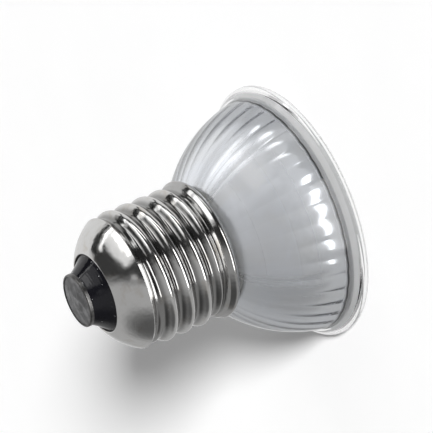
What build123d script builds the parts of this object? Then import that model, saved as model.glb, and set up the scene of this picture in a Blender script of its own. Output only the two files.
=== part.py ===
from build123d import *

import os
from math import cos, pi, sin, sqrt

# Frame
# The lamp stands on its glass rim. The origin is the centre of the rim's front face and +Z runs
# along the lamp's axis to the centre contact. A flute's middle lies on +X. Lengths are in mm.
# Glass heights build up from the rim, and the cap's heights build up from the glass neck.

# Glass bowl and rim
bowl_front_radius = 23.3
bowl_bulge = 2.66
bowl_wall = 1.7
flange_step = 0.4
flange_back_height = 2.75
rim_overhang = 1.85
rim_band_height = 1.3
rim_front_round = 0.4
rim_face_width = 1.75

# Flutes inside the bowl
flute_count = 36
flute_depth = 0.4
flute_sections = 6

# Glass neck, hidden in the cap
neck_start_height = 22.15
neck_length = 8.6
neck_wall = 2.0

# Cover glass and its sealant
lens_thickness = 2.0
lens_recess = 0.25
lens_edge_bevel = 0.25
seal_width = 0.45
seal_sink = 0.1

# Rolled thread of the cap
shell_wall = 0.35
thread_crest_radius = 13.15
thread_depth = 1.07
thread_pitch = 3.629
thread_length = 14.5
thread_run_out = 1.6
thread_start_angle = 180
crest_arc_rise = 0.55
crest_arc_half_width = 0.86
flank_hollow = 0.12
ridge_gap = 0.2
ridge_root_overlap = 0.08
ridge_root_depth = 0.5

# Collar of the cap, a bead round the start of the neck
collar_overlap = 1.7
collar_mouth_flare = 0.05
collar_bead_flare = 0.4
collar_bead_rise = 0.75
collar_length = 1.75
collar_top_step = 0.2
collar_thread_gap = 0.7

# Shoulder and cone of the cap
shoulder_step = 0.45
shoulder_gap = 1.05
shoulder_round_width = 1.3
shoulder_round_rise = 2.05
shoulder_round_bulge = 0.5
cone_rise = 2.75
cone_bulge = 0.16
opening_radius = 7.6
opening_lip = 0.45

# Glass insulator and centre contact
insulator_depth = 3.05
insulator_rise = 3.2
insulator_plug_inset = 1.6
insulator_step = 1.0
insulator_waist = 0.22
contact_radius = 5.12
contact_overhang = 0.22
contact_thickness = 0.75
contact_edge_round = 0.26
contact_rim_height = 0.14
contact_rim_width = 0.4
eyelet_radius = 1.35
eyelet_length = 1.4
wire_hole_radius = 0.75
solder_dome = 0.42

# Quartz capsule, placed from the end of the neck
pinch_sink = 0.55
pinch_length = 8.25
pinch_width = 9.4
pinch_thickness = 3.2
pinch_edge_round = 0.5
capsule_radius = 5.1
capsule_wall = 0.9
capsule_tube_length = 13.4
tip_radius = 0.9
tip_point_radius = 0.32
tip_length = 1.1
tip_root = 0.25

# Coil and its two wires
coil_rise = 5.0
coil_radius = 0.75
coil_pitch = 0.8
coil_turns = 6
coil_wire_radius = 0.11
coil_wire_sides = 6
lead_spacing = 4.8
lead_wire_radius = 0.3

# Foils in the pinch
foil_width = 2.0
foil_thickness = 0.1
foil_length = 5.0
foil_overlap = 0.6
foil_inset = 0.8

# Outer wires and the sleeve on the centre wire
lead_bend_radius = 1.5
centre_lead_rise = 1.6
side_lead_rise = 1.3
side_lead_drop = 4.75
side_lead_clearance = 0.02
sleeve_radius = 0.7
sleeve_bore_radius = 0.38
sleeve_low_gap = 0.6
sleeve_high_gap = 0.2

# Cement in the neck and between neck and cap
plug_cement_depth = 7.6
plug_cement_sink = 0.4
ring_cement_sink = 1.75
ring_cement_foot = 0.1
cement_clearance = 0.05
neck_cement_width = 2.13

# How far a cutting tool passes the faces that it cuts
cut_past = 1.0

# Radii that follow
rim_radius = bowl_front_radius + rim_overhang
flange_back_radius = bowl_front_radius + flange_step
lens_seat_radius = rim_radius - rim_face_width
lens_radius = lens_seat_radius - seal_width
thread_root_radius = thread_crest_radius - thread_depth
neck_radius = thread_root_radius - shell_wall - neck_cement_width
neck_bore_radius = neck_radius - neck_wall
collar_mouth_radius = thread_crest_radius + collar_mouth_flare
collar_bead_radius = thread_crest_radius + collar_bead_flare
collar_top_radius = thread_crest_radius - collar_top_step
shoulder_radius = thread_crest_radius - shoulder_step
shoulder_round_radius = shoulder_radius - shoulder_round_width
cone_top_radius = opening_radius + opening_lip
insulator_top_radius = contact_radius - contact_overhang

# Heights that follow
lens_back_height = lens_recess + lens_thickness
neck_top_height = neck_start_height + neck_length
collar_mouth_height = neck_start_height - collar_overlap
collar_bead_height = collar_mouth_height + collar_bead_rise
collar_top_height = collar_mouth_height + collar_length
thread_bottom_height = collar_top_height + collar_thread_gap
thread_top_height = thread_bottom_height + thread_length
shoulder_height = thread_top_height + shoulder_gap
shoulder_round_height = shoulder_height + shoulder_round_rise
opening_height = shoulder_round_height + cone_rise
insulator_base_height = opening_height - insulator_depth
insulator_top_height = opening_height + insulator_rise
contact_top_height = insulator_top_height + contact_thickness
pinch_top_height = neck_top_height - pinch_sink
pinch_start_height = pinch_top_height - pinch_length
capsule_shoulder_height = pinch_start_height - capsule_radius / 2
capsule_front_height = capsule_shoulder_height - capsule_tube_length
coil_height = capsule_front_height + coil_rise
lead_foot_height = pinch_start_height + foil_inset + foil_overlap
foil_low_height = lead_foot_height - foil_overlap
foil_top_height = foil_low_height + foil_length
outer_lead_foot_height = foil_top_height - foil_overlap
centre_bend_height = neck_top_height + centre_lead_rise
centre_run_height = centre_bend_height + lead_spacing


def bowl_circle():
    """Centre and radius of the circle that the bowl's outer side follows, in the (r, z) plane."""
    run = neck_radius - bowl_front_radius
    rise = neck_start_height - flange_back_height
    chord = sqrt(run**2 + rise**2)
    radius = chord**2 / (8 * bowl_bulge) + bowl_bulge / 2
    middle_r = (neck_radius + bowl_front_radius) / 2
    middle_z = (neck_start_height + flange_back_height) / 2
    back = radius - bowl_bulge
    return middle_r - back * rise / chord, middle_z + back * run / chord, radius


def bowl_radius_at(height, inset=0.0):
    """Radius of the bowl at a height, on the circle moved in by the inset."""
    centre_r, centre_z, radius = bowl_circle()
    return centre_r + sqrt((radius - inset) ** 2 - (height - centre_z) ** 2)


def turned(face):
    """The solid that a face in the XZ plane makes in one turn about the lamp's axis."""
    return revolve(face, axis=Axis.Z)


def disc(radius, low, high):
    """A plain round slab about the axis, between two heights."""
    return Pos(0, 0, low) * Cylinder(radius, high - low, align=(Align.CENTER, Align.CENTER, Align.MIN))


def profile_face(*edges):
    """A face in the XZ plane from a chain of edges drawn in (r, z)."""
    return Plane.XZ * make_face(Wire(list(edges)))


def corner_face(*corners):
    """A face in the XZ plane with straight sides, from its corners in (r, z)."""
    return Plane.XZ * make_face(Polyline(*corners, close=True))


def glass_outside():
    """Bowl, rim and neck as one filled turned form."""
    start = (bowl_front_radius, flange_back_height)
    end = (neck_radius, neck_start_height)
    middle_height = (flange_back_height + neck_start_height) / 2
    middle = (bowl_radius_at(middle_height), middle_height)
    front = (rim_radius - rim_front_round, 0)
    side = (rim_radius, rim_front_round)
    band_top = (rim_radius, rim_band_height)
    flange_back = (flange_back_radius, flange_back_height)
    neck_top = (neck_radius, neck_top_height)
    outline = [
        Line((0, 0), front),
        RadiusArc(front, side, -rim_front_round),
        Line(side, band_top),
        Line(band_top, flange_back),
        Line(flange_back, start),
        ThreePointArc(start, middle, end),
        Line(end, neck_top),
        Line(neck_top, (0, neck_top_height)),
        Line((0, neck_top_height), (0, 0)),
    ]
    return turned(profile_face(*outline))


def flute_ring(height):
    """Fluted cross-section of the bowl's inside: arcs that swell outwards between sharp ridges."""
    outer = bowl_radius_at(height, bowl_wall)
    ridge = outer - flute_depth * outer / bowl_front_radius
    step = 2 * pi / flute_count
    arcs = []
    for number in range(flute_count):
        middle = number * step
        before = middle - step / 2
        after = middle + step / 2
        arcs.append(
            ThreePointArc(
                (ridge * cos(before), ridge * sin(before)),
                (outer * cos(middle), outer * sin(middle)),
                (ridge * cos(after), ridge * sin(after)),
            )
        )
    return Pos(0, 0, height) * make_face(Wire(arcs))


def flute_top_height():
    """Height where the fluted inside has narrowed to the bore of the neck."""
    centre_r, centre_z, radius = bowl_circle()
    ridge_share = 1 - flute_depth / bowl_front_radius
    reach = neck_bore_radius / ridge_share - centre_r
    return centre_z + sqrt((radius - bowl_wall) ** 2 - reach**2)


def fluted_inside():
    """The space inside the bowl, from the cover glass to the neck's bore."""
    low = lens_back_height
    high = flute_top_height()
    rings = []
    for number in range(flute_sections):
        share = number / (flute_sections - 1)
        rings.append(flute_ring(low + (high - low) * sin(share * pi / 2)))
    return loft(rings)


def make_reflector():
    """Pressed glass bowl: smooth outside, 36 flutes inside, thick rim with a seat, hollow neck."""
    body = glass_outside()
    body -= disc(lens_seat_radius, -cut_past, lens_back_height)
    body -= fluted_inside()
    body -= disc(neck_bore_radius, flute_top_height() - flute_depth, neck_top_height + cut_past)
    return body


def make_front_lens():
    """Flat cover glass with ground edges."""
    lens = disc(lens_radius, lens_recess, lens_back_height)
    return chamfer(lens.edges().filter_by(GeomType.CIRCLE), lens_edge_bevel)


def make_lens_seal(lens):
    """Sealant between the cover glass and its seat, a little below the rim's face."""
    ring = disc(lens_seat_radius, lens_recess + seal_sink, lens_back_height)
    return ring - disc(lens_radius, 0, lens_back_height + cut_past) - lens


def knuckle(inset):
    """Section of the rolled thread's ridge in (r, z), round on the crest and hollow at the flanks."""
    crest = thread_crest_radius - inset
    flank = crest - crest_arc_rise
    foot = thread_root_radius - inset - ridge_root_overlap
    base = foot - ridge_root_depth
    half_crest = crest_arc_half_width
    half_foot = (thread_pitch - ridge_gap) / 2
    knee_r = (flank + foot) / 2 - flank_hollow
    knee_z = (half_crest + half_foot) / 2 - flank_hollow
    edges = [
        ThreePointArc((flank, -half_crest), (crest, 0), (flank, half_crest)),
        ThreePointArc((flank, half_crest), (knee_r, knee_z), (foot, half_foot)),
        Line((foot, half_foot), (base, half_foot)),
        Line((base, half_foot), (base, -half_foot)),
        Line((base, -half_foot), (foot, -half_foot)),
        ThreePointArc((foot, -half_foot), (knee_r, -knee_z), (flank, -half_crest)),
    ]
    return make_face(Wire(edges))


def thread_ridge(inset):
    """Right-hand helical ridge of the rolled thread, which fades out at both ends."""
    start = thread_bottom_height - thread_pitch
    length = thread_length + 2 * thread_pitch
    root = thread_root_radius - inset
    path = Pos(0, 0, start) * Helix(thread_pitch, length, root)
    section = Pos(0, 0, start) * (Plane.XZ * knuckle(inset))
    ridge = Rot(0, 0, thread_start_angle) * sweep(sections=section, path=path, is_frenet=True)
    crest = thread_crest_radius - inset + ridge_root_overlap
    low = thread_bottom_height
    high = thread_top_height
    limit = corner_face(
        (0, low),
        (root, low),
        (crest, low + thread_run_out),
        (crest, high - thread_run_out),
        (root, high),
        (0, high),
    )
    return ridge & turned(limit)


def shell_form(inset):
    """Filled form of the cap, moved in by the inset: collar bead, threaded wall, shoulder and cone."""
    cone_run = shoulder_round_radius - cone_top_radius
    slant = sqrt(cone_run**2 + cone_rise**2)
    root = thread_root_radius - inset
    mouth = (collar_mouth_radius - inset, collar_mouth_height)
    bead = (collar_bead_radius - inset, collar_bead_height)
    collar_top = (collar_top_radius - inset, collar_top_height)
    shoulder = (shoulder_radius - inset, shoulder_height)
    turn_point = (
        shoulder_round_radius - inset * cone_rise / slant,
        shoulder_round_height - inset * cone_run / slant,
    )
    opening = (cone_top_radius, opening_height - inset * slant / cone_run)
    outline = [
        Line((0, collar_mouth_height), mouth),
        ThreePointArc(mouth, bead, collar_top),
        Line(collar_top, (root, thread_bottom_height)),
        Line((root, thread_bottom_height), (root, thread_top_height)),
        Line((root, thread_top_height), shoulder),
        SagittaArc(shoulder, turn_point, -shoulder_round_bulge),
        SagittaArc(turn_point, opening, -cone_bulge),
        Line(opening, (0, opening[1])),
        Line((0, opening[1]), (0, collar_mouth_height)),
    ]
    return turned(profile_face(*outline)) + thread_ridge(inset)


def make_screw_shell():
    """Rolled sheet cap: outer form less the same form moved in by the wall, open at both ends."""
    cavity = shell_form(shell_wall)
    shell = shell_form(0.0) - cavity
    lip_radius = opening_lip / 2
    lip = Plane.XZ * Pos(opening_radius + lip_radius, opening_height - shell_wall / 2) * Circle(lip_radius)
    shell += turned(lip)
    shell -= disc(opening_radius, shoulder_round_height, opening_height + cut_past)
    return shell, cavity


def make_insulator(shell_cavity, shell, contact_plate):
    """Black glass plug: fills the shoulder inside and narrows outside to the contact."""
    plug_radius = shoulder_radius - shell_wall - insulator_plug_inset
    cone_foot = opening_height - shell_wall
    step = cone_foot - insulator_step
    plug = disc(plug_radius, insulator_base_height, cone_foot) & shell_cavity
    start = (opening_radius, cone_foot)
    end = (insulator_top_radius, insulator_top_height)
    outline = [
        Line((0, step), (opening_radius, step)),
        Line((opening_radius, step), start),
        SagittaArc(start, end, insulator_waist),
        Line(end, (0, insulator_top_height)),
        Line((0, insulator_top_height), (0, step)),
    ]
    plug += turned(profile_face(*outline))
    plug -= disc(wire_hole_radius, insulator_base_height - cut_past, insulator_top_height + cut_past)
    return plug - shell - contact_plate


def make_contact_plate():
    """Round contact with a raised edge and an eyelet that sits in the insulator."""
    eyelet_foot = insulator_top_height - eyelet_length
    pan_floor = contact_top_height - contact_rim_height
    plate = disc(contact_radius, insulator_top_height, contact_top_height)
    plate = fillet(plate.edges().filter_by(GeomType.CIRCLE).sort_by(Axis.Z)[-1], contact_edge_round)
    plate += disc(eyelet_radius, eyelet_foot, insulator_top_height)
    plate -= disc(contact_radius - contact_rim_width, pan_floor, contact_top_height + cut_past)
    plate -= disc(wire_hole_radius, eyelet_foot - cut_past, contact_top_height + cut_past)
    return plate


def make_contact_solder():
    """Low dome of solder in the plate, which also fills the eyelet's bore above the wire's end."""
    edge = contact_radius - contact_rim_width
    floor = contact_top_height - contact_rim_height
    radius = (edge**2 + solder_dome**2) / (2 * solder_dome)
    dome = Pos(0, 0, floor + solder_dome - radius) * Sphere(radius)
    dome &= disc(edge, floor, floor + solder_dome + cut_past)
    return dome + disc(wire_hole_radius, insulator_top_height, floor)


def capsule_outside():
    """Tube with a round front end, an exhaust tip and the flat pinch."""
    tube_low = capsule_front_height + capsule_radius
    body = disc(capsule_radius, tube_low, capsule_shoulder_height)
    body += Pos(0, 0, tube_low) * Sphere(capsule_radius)
    pinch = RectangleRounded(pinch_width, pinch_thickness, pinch_edge_round)
    body += loft([
        Pos(0, 0, capsule_shoulder_height) * Circle(capsule_radius),
        Pos(0, 0, pinch_start_height) * pinch,
    ])
    body += extrude(Pos(0, 0, pinch_start_height) * pinch, pinch_length)
    tip_low = capsule_front_height - tip_length
    tip_high = capsule_front_height + tip_root
    tip = corner_face((0, tip_low), (tip_point_radius, tip_low), (tip_radius, tip_high), (0, tip_high))
    return body + turned(tip)


def capsule_inside():
    """Gas space of the capsule."""
    radius = capsule_radius - capsule_wall
    tube_low = capsule_front_height + capsule_radius
    space = disc(radius, tube_low, capsule_shoulder_height - capsule_wall)
    return space + Pos(0, 0, tube_low) * Sphere(radius)


def make_foil(side):
    """Thin foil strip sealed in the pinch, beside its two wires."""
    middle = (foil_low_height + foil_top_height) / 2
    offset = lead_wire_radius + foil_thickness / 2
    return Pos(side * lead_spacing / 2, offset, middle) * Box(foil_width, foil_thickness, foil_length)


def make_inner_lead(side):
    """Straight wire from the foil down to the end of the coil."""
    low = coil_height - coil_radius
    return Pos(side * lead_spacing / 2, 0, 0) * disc(lead_wire_radius, low, lead_foot_height)


def make_filament(leads):
    """Tungsten coil across the capsule, of six-sided wire, from one inner wire to the other."""
    length = coil_pitch * coil_turns
    path = Helix(coil_pitch, length, coil_radius)
    section = Plane(path @ 0, z_dir=path % 0) * RegularPolygon(coil_wire_radius, coil_wire_sides)
    coil = sweep(sections=section, path=path, is_frenet=True)
    coil = Pos(-length / 2, 0, coil_height) * Rot(0, 90, 0) * coil
    return coil - leads


def bent_wire(points, bend_radius):
    """Round wire along straight runs with equal bends, which starts upwards."""
    path = FilletPolyline(*points, radius=bend_radius)
    return sweep(sections=Plane(points[0]) * Circle(lead_wire_radius), path=path)


def make_centre_lead():
    """Wire from the right foil, bent to the axis, through the insulator to the solder."""
    side = lead_spacing / 2
    points = [
        (side, 0, outer_lead_foot_height),
        (side, 0, centre_bend_height),
        (0, 0, centre_run_height),
        (0, 0, insulator_top_height),
    ]
    return bent_wire(points, lead_bend_radius)


def make_side_lead():
    """Wire from the left foil, over the neck's end and down to the shell's wall."""
    side = -lead_spacing / 2
    reach = -(thread_root_radius - shell_wall - lead_wire_radius - side_lead_clearance)
    over = neck_top_height + side_lead_rise
    points = [
        (side, 0, outer_lead_foot_height),
        (side, 0, over),
        (reach, 0, over),
        (reach, 0, neck_top_height - side_lead_drop),
    ]
    return bent_wire(points, min(lead_bend_radius, side_lead_rise))


def make_sleeve():
    """Insulating sleeve on the straight upper run of the centre lead."""
    low = centre_run_height + sleeve_low_gap
    high = insulator_base_height - sleeve_high_gap
    return disc(sleeve_radius, low, high) - disc(sleeve_bore_radius, low - cut_past, high + cut_past)


def make_capsule(inner_pieces):
    """Quartz capsule, hollow, with its wires and foils sealed in the pinch."""
    body = capsule_outside() - capsule_inside()
    for piece in inner_pieces:
        body -= piece
    return body


def make_capsule_cement():
    """Cement that fills the neck's bore round the pinch."""
    top = pinch_top_height - plug_cement_sink
    return disc(neck_bore_radius, pinch_top_height - plug_cement_depth, top) - capsule_outside()


def make_basing_cement(side_lead):
    """Cement ring between the neck and the cap, shaped by the bowl below and the wire beside it."""
    collar = collar_mouth_radius - shell_wall - cement_clearance
    wall = thread_root_radius - shell_wall - cement_clearance
    low = collar_mouth_height + ring_cement_foot
    high = neck_top_height - ring_cement_sink
    ring = corner_face(
        (0, low),
        (collar, low),
        (collar, collar_bead_height),
        (wall, collar_top_height),
        (wall, high),
        (0, high),
    )
    return turned(ring) - glass_outside() - side_lead


def build_pieces():
    """All pieces of the lamp by name."""
    pieces = {}
    pieces["reflector"] = make_reflector()
    pieces["front_lens"] = make_front_lens()
    pieces["lens_seal"] = make_lens_seal(pieces["front_lens"])
    shell, cavity = make_screw_shell()
    pieces["screw_shell"] = shell
    pieces["contact_plate"] = make_contact_plate()
    pieces["insulator"] = make_insulator(cavity, shell, pieces["contact_plate"])
    pieces["centre_lead"] = make_centre_lead()
    pieces["contact_solder"] = make_contact_solder()
    pieces["side_lead"] = make_side_lead()
    pieces["insulating_sleeve"] = make_sleeve()
    for name, side in (("left", -1), ("right", 1)):
        pieces["foil_" + name] = make_foil(side)
        pieces["inner_lead_" + name] = make_inner_lead(side)
    leads = pieces["inner_lead_left"] + pieces["inner_lead_right"]
    pieces["filament"] = make_filament(leads)
    sealed = ["foil_left", "foil_right", "inner_lead_left", "inner_lead_right", "centre_lead", "side_lead"]
    pieces["quartz_capsule"] = make_capsule([pieces[name] for name in sealed])
    pieces["capsule_cement"] = make_capsule_cement()
    pieces["basing_cement"] = make_basing_cement(pieces["side_lead"])
    return pieces


def main():
    os.makedirs("parts", exist_ok=True)
    for name, solid in build_pieces().items():
        export_step(solid, "parts/" + name + ".step")


main()
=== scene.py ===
"""Surfaces, fine shapes, stage and camera of the reptile heat lamp, laid out as an add-on."""

from math import acos, cos, hypot, pi, radians, sin, sqrt, tan, tau

import bmesh
import bpy
from bpy.props import FloatProperty, FloatVectorProperty, IntProperty, PointerProperty
from mathutils import Matrix, Vector


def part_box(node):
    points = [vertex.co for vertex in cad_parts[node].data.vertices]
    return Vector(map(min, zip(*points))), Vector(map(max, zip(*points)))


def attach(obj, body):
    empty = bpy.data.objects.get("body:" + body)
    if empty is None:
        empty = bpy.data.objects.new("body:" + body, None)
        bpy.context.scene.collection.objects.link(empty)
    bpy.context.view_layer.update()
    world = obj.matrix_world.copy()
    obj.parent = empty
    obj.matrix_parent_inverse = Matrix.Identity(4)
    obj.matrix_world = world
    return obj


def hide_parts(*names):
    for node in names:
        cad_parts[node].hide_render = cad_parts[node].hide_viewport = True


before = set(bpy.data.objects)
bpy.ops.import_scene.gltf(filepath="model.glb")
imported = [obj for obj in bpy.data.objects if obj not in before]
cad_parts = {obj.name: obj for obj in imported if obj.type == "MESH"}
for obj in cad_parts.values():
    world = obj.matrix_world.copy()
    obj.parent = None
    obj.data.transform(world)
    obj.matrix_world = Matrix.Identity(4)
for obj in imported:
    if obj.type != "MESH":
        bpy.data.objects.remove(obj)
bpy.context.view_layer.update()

bl_info = {
    "name": "Reptile heat lamp",
    "version": (1, 0, 0),
    "blender": (4, 5, 0),
    "location": "3D View > Sidebar > Heat lamp",
    "description": "Makes the surfaces, the fine shapes and the stage of a reptile heat lamp",
    "category": "Object",
}

# Lengths are in metres and heights count from the floor, which is the plane of the lamp's rim.
# An outline is a list of points (r, z) about the lamp's axis.
MM = 0.001
BODY = "root"

# Edges that turn by more than this, in radians, stay sharp.
SHARP_ANGLE = 0.55

# Room round the cover glass and its sealant, so that no two faces lie in the same place.
SEAT_ROOM = 0.02 * MM


def length(name, description, default):
    """A property for a length, whose default is given in metres."""
    return FloatProperty(name=name, description=description, default=default, unit="LENGTH", precision=5)


def tint(name, description, default):
    """A property for a linear colour."""
    return FloatVectorProperty(
        name=name, description=description, default=default, subtype="COLOR", size=3, min=0, max=1
    )


class HeatLampBowl(bpy.types.PropertyGroup):
    """Sizes and colours of the glass bowl."""

    front_radius: length("Front radius", "Radius of the bowl behind its rim", 0.0233)
    bulge: length("Bulge", "How far the bowl's side swells past a straight cone", 0.00266)
    wall: length("Wall", "Thickness of the pressed glass", 0.0017)
    rim_overhang: length("Rim overhang", "How far the rim stands out from the bowl", 0.00185)
    rim_face: length("Rim face", "Width of the rim's face round the cover glass", 0.00175)
    flute_depth: length("Flute depth", "Depth of a flute at the front of the bowl", 0.00026)
    flute_count: IntProperty(name="Flutes", description="Flutes round the inside of the bowl", default=36)
    flute_share: FloatProperty(
        name="Flute share", description="Share of the flutes' depth up the side", default=0.24, min=0, max=1
    )
    neck_radius: length("Neck radius", "Radius of the neck inside the cap", 0.0096)
    neck_start: length("Neck start", "Height where the bowl ends in its neck", 0.02215)
    neck_wall: length("Neck wall", "Thickness of the neck", 0.002)
    film_tint: tint("Film", "Colour of the reflecting film inside the bowl", (0.93, 0.955, 1.0))
    glass_tint: tint("Glass", "Colour of the clear glass", (0.993, 0.996, 0.998))


class HeatLampCap(bpy.types.PropertyGroup):
    """Sizes and colours of the screw cap."""

    crest_radius: length("Crest radius", "Radius over the crests of the thread", 0.01315)
    thread_depth: length("Thread depth", "Depth of the rolled thread", 0.00107)
    pitch: length("Pitch", "Distance between turns of the thread", 0.003629)
    thread_length: length("Thread length", "Height of the threaded wall", 0.0145)
    run_out: length("Run-out", "Height over which the thread fades at its ends", 0.0016)
    start_angle: FloatProperty(
        name="Start angle", description="Angle at which the thread starts", default=pi, subtype="ANGLE"
    )
    crest_fullness: FloatProperty(
        name="Crest fullness", description="How full the rolled crests are", default=0.17, min=0, max=0.5
    )
    collar_height: length("Collar height", "Height of the collar from the mouth to the thread", 0.00245)
    opening_radius: length("Opening radius", "Radius of the opening round the insulator", 0.0076)
    wall: length("Wall", "Thickness of the sheet metal", 0.00035)
    plating: tint("Plating", "Colour of the bright nickel", (0.79, 0.785, 0.775))


class HeatLampBase(bpy.types.PropertyGroup):
    """Sizes and colours of the insulator and the centre contact."""

    foot_radius: length("Foot radius", "Radius of the insulator where it leaves the cap", 0.00755)
    top_radius: length("Top radius", "Radius of the insulator under the contact", 0.0049)
    rise: length("Rise", "Height of the insulator above the cap's wall", 0.00355)
    waist: length("Waist", "How far the insulator's side curves in", 0.00022)
    plug_radius: length("Plug radius", "Radius of the insulator inside the cap", 0.0101)
    wire_bore: length("Wire bore", "Radius of the hole for the centre wire", 0.00075)
    eyelet_bore: length("Eyelet bore", "Radius of the hole for the contact's eyelet", 0.00137)
    eyelet_depth: length("Eyelet depth", "Depth of the hole for the contact's eyelet", 0.00142)
    ripple: length("Ripple", "Height of the mould's fine rings on the insulator", 0.000004)
    ring_pitch: length("Ring pitch", "Distance between the mould's fine rings", 0.00042)
    glass_colour: tint("Black glass", "Colour of the insulator", (0.006, 0.006, 0.008))
    contact_colour: tint("Contact", "Colour of the contact's metal", (0.24, 0.235, 0.23))
    solder_colour: tint("Solder", "Colour of the solder on the contact", (0.27, 0.27, 0.275))


class HeatLampInside(bpy.types.PropertyGroup):
    """Colours of the pieces inside the bowl and the cap."""

    sealant_tint: tint("Sealant", "Colour of the bead round the cover glass", (0.88, 0.89, 0.89))
    cement_tint: tint("Cement", "Colour of the ceramic cement", (0.72, 0.7, 0.64))
    wire_tint: tint("Wire", "Colour of the drawn wires", (0.6, 0.58, 0.55))
    coil_tint: tint("Coil", "Colour of the tungsten coil", (0.34, 0.34, 0.35))
    foil_tint: tint("Foil", "Colour of the sealing foils", (0.58, 0.58, 0.58))
    sleeve_tint: tint("Sleeve", "Colour of the glass-fibre sleeve", (0.83, 0.82, 0.77))


class HeatLampStage(bpy.types.PropertyGroup):
    """The camera and the floor."""

    lens: FloatProperty(name="Lens", description="Focal length", default=177.42, unit="CAMERA")
    floor_width: length("Floor width", "Side of the floor", 6.0)
    floor_colour: tint("Floor", "Colour of the floor", (0.97, 0.97, 0.97))


# Outlines and turned meshes


def swept(centre, arm, sweep, count):
    """Points on the arc that an arm from the centre sweeps."""
    points = []
    for number in range(count + 1):
        angle = sweep * number / count
        points.append((
            centre.x + arm.x * cos(angle) - arm.y * sin(angle),
            centre.y + arm.x * sin(angle) + arm.y * cos(angle),
        ))
    return points


def arc_between(start, end, bulge, count):
    """Points on an arc from start to end. A positive bulge swells to the right of the way."""
    chord = Vector(end) - Vector(start)
    half = chord.length / 2
    radius = (half**2 + bulge**2) / (2 * abs(bulge))
    side = 1 if bulge > 0 else -1
    across = Vector((chord.y, -chord.x)).normalized() * side
    centre = (Vector(start) + Vector(end)) / 2 - across * (radius - abs(bulge))
    reach = 2 * acos(max(-1.0, (radius - abs(bulge)) / radius))
    return swept(centre, Vector(start) - centre, side * reach, count)


def rounded(corners, steps=5):
    """An open outline through corners (r, z, radius), with an arc at each corner that has a radius."""
    points = [corners[0][:2]]
    for before, corner, after in zip(corners, corners[1:], corners[2:]):
        here = Vector(corner[:2])
        towards = (Vector(before[:2]) - here).normalized()
        away = (Vector(after[:2]) - here).normalized()
        radius = corner[2]
        half = acos(max(-1.0, min(1.0, towards.dot(away)))) / 2
        if radius <= 0 or abs(half - pi / 2) < 0.01:
            points.append(tuple(here))
            continue
        reach = radius / tan(half)
        centre = here + (towards + away).normalized() * (radius / sin(half))
        first = here + towards * reach - centre
        last = here + away * reach - centre
        points += swept(centre, first, -first.angle_signed(last), steps)
    points.append(corners[-1][:2])
    return points


def spaced(points, step):
    """The outline with points added, so that no run is longer than the step."""
    result = [points[0]]
    for before, after in zip(points, points[1:]):
        run = hypot(after[0] - before[0], after[1] - before[1])
        if run < 1e-8:
            continue
        count = max(1, int(run / step + 0.999))
        for number in range(1, count + 1):
            share = number / count
            result.append((
                before[0] + (after[0] - before[0]) * share,
                before[1] + (after[1] - before[1]) * share,
            ))
    return result


def turned(name, outline, segments, closed):
    """An object whose mesh is the outline turned about the axis: a ring, or a solid with two poles."""
    verts = []
    rows = []
    for radius, height in outline:
        if radius < 1e-7:
            rows.append([len(verts)])
            verts.append((0, 0, height))
            continue
        rows.append(list(range(len(verts), len(verts) + segments)))
        for number in range(segments):
            angle = tau * number / segments
            verts.append((radius * cos(angle), radius * sin(angle), height))
    faces = []
    pairs = list(zip(rows, rows[1:]))
    if closed:
        pairs.append((rows[-1], rows[0]))
    for low, high in pairs:
        for number in range(segments):
            after = (number + 1) % segments
            if len(low) == 1:
                faces.append((low[0], high[after], high[number]))
            elif len(high) == 1:
                faces.append((low[number], low[after], high[0]))
            else:
                faces.append((low[number], low[after], high[after], high[number]))
    mesh = bpy.data.meshes.new(name)
    mesh.from_pydata(verts, [], faces)
    piece = bpy.data.objects.new(name, mesh)
    bpy.context.scene.collection.objects.link(piece)
    return piece


def smooth_out(piece, sharp_angle=SHARP_ANGLE):
    """Merges doubles, turns the faces outwards and smooths all but the sharp edges."""
    shape = bmesh.new()
    shape.from_mesh(piece.data)
    bmesh.ops.remove_doubles(shape, verts=shape.verts, dist=1e-7)
    bmesh.ops.recalc_face_normals(shape, faces=shape.faces)
    for face in shape.faces:
        face.smooth = True
    for edge in shape.edges:
        edge.smooth = not (len(edge.link_faces) == 2 and edge.calc_face_angle(0) > sharp_angle)
    shape.to_mesh(piece.data)
    shape.free()
    piece.data.update()


def hand_over(piece, node):
    """Lets the piece stand for a CAD node on the lamp's body."""
    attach(piece, BODY)
    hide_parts(node)


# Node trees


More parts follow.
